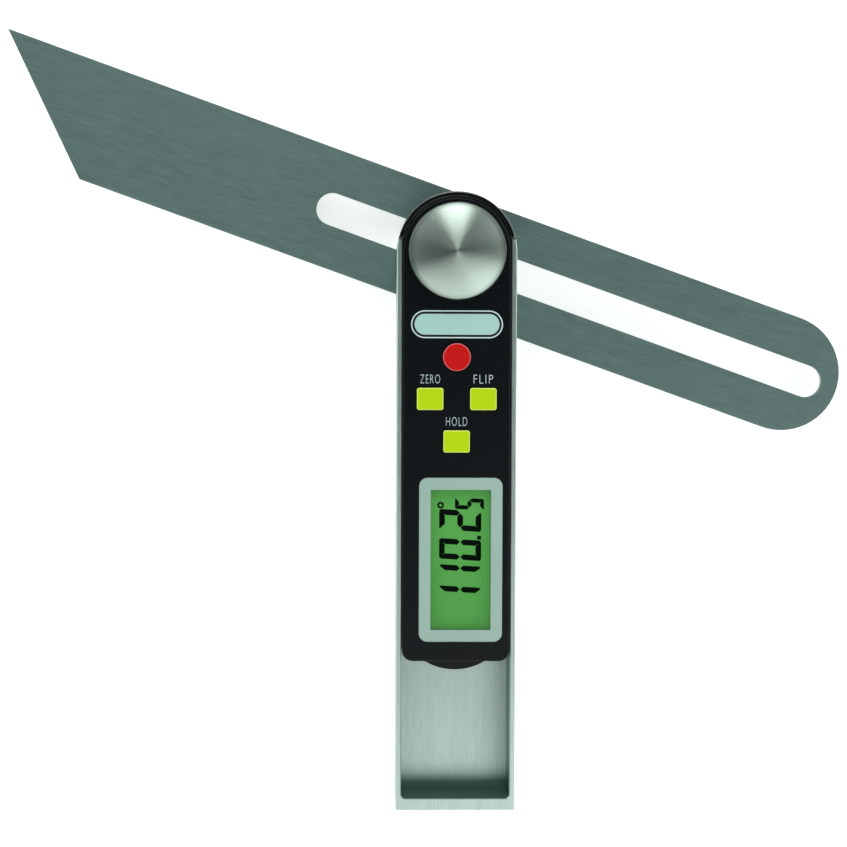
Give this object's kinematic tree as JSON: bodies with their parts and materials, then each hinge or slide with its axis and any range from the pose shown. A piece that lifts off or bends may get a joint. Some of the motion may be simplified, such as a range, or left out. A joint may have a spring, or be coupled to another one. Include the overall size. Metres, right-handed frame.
{
  "type": "digital sliding t bevel",
  "caption": "Digital sliding T-bevel: slotted steel blade that turns and slides on a clamp stud in a channel handle with an angle display.",
  "frame": {"origin": "on the pivot axis, at the handle's back face", "axes": "+Z out of the front face, +Y along the handle towards its head, +X to the right seen from the front"},
  "size_m": [0.1877, 0.1735, 0.0245],
  "materials": {
    "handle_steel": "brushed along the handle",
    "blade_steel": "brushed along the blade",
    "screw_steel": "turned",
    "hub_brass": "turned",
    "knob_metal": "turned nickel plate with knurled edge",
    "black_abs": "satin moulded",
    "badge_metal": "enamelled",
    "red_plastic": "moulded",
    "key_plastic": "moulded",
    "bezel_plastic": "moulded",
    "window_clear": "polished",
    "lcd_green": "liquid crystal glass over a green light guide",
    "light_guide": "frosted",
    "connector_rubber": "layered",
    "board_laminate": "solder resist",
    "chip_epoxy": "moulded",
    "can_nickel": "plated",
    "tray_plastic": "moulded",
    "cell_steel": "plated",
    "contact_brass": "plated strip"
  },
  "bodies": {
    "handle": {"back_plate": "handle_steel", "foot_block": "handle_steel", "front_channel": "handle_steel", "foot_screws": "screw_steel", "clamp_stud": "screw_steel", "friction_washer": "screw_steel", "spring_washer": "screw_steel", "clamp_sleeve": "screw_steel", "module_housing": "black_abs", "front_cover": "black_abs", "badge": "badge_metal", "lcd_bezel": "bezel_plastic", "lcd_window": "window_clear", "lcd_panel": "lcd_green", "backlight": "light_guide", "lcd_connector": "connector_rubber", "circuit_board": "board_laminate", "encoder_stator": "board_laminate", "processor_chip": "chip_epoxy", "crystal": "can_nickel", "dome_switches": "can_nickel", "board_screws": "screw_steel", "module_screws": "screw_steel", "battery_contacts": "contact_brass"},
    "hub": {"slot_hub": "hub_brass", "encoder_rotor": "board_laminate"},
    "blade": {"blade": "blade_steel"},
    "knob": {"clamp_knob": "knob_metal"},
    "power_button": {"power_button": "red_plastic"},
    "zero_key": {"zero_key": "key_plastic"},
    "flip_key": {"flip_key": "key_plastic"},
    "hold_key": {"hold_key": "key_plastic"},
    "tray": {"battery_tray": "tray_plastic", "coin_cell": "cell_steel"}
  },
  "joints": [
    {"name": "blade_swing", "type": "hinge", "parent": "handle", "child": "hub", "pos_m": [0, 0, 0.0052], "axis": [0, 0, 1], "continuous": true},
    {"name": "blade_slide", "type": "slide", "parent": "hub", "child": "blade", "axis": [0.9415, -0.3371, 0], "range_m": [-0.0846, 0.0293]},
    {"name": "knob_turn", "type": "hinge", "parent": "handle", "child": "knob", "pos_m": [0, 0, 0.022], "axis": [0, 0, 1], "range_deg": [0, 360]},
    {"name": "power_button_press", "type": "slide", "parent": "handle", "child": "power_button", "axis": [0, 0, -1], "range_m": [0, 0.0006], "stiffness_N_per_m": 400},
    {"name": "zero_key_press", "type": "slide", "parent": "handle", "child": "zero_key", "axis": [0, 0, -1], "range_m": [0, 0.0006], "stiffness_N_per_m": 400},
    {"name": "flip_key_press", "type": "slide", "parent": "handle", "child": "flip_key", "axis": [0, 0, -1], "range_m": [0, 0.0006], "stiffness_N_per_m": 400},
    {"name": "hold_key_press", "type": "slide", "parent": "handle", "child": "hold_key", "axis": [0, 0, -1], "range_m": [0, 0.0006], "stiffness_N_per_m": 400},
    {"name": "tray_slide", "type": "slide", "parent": "handle", "child": "tray", "axis": [0, -1, 0], "range_m": [0, 0.022]}
  ]
}
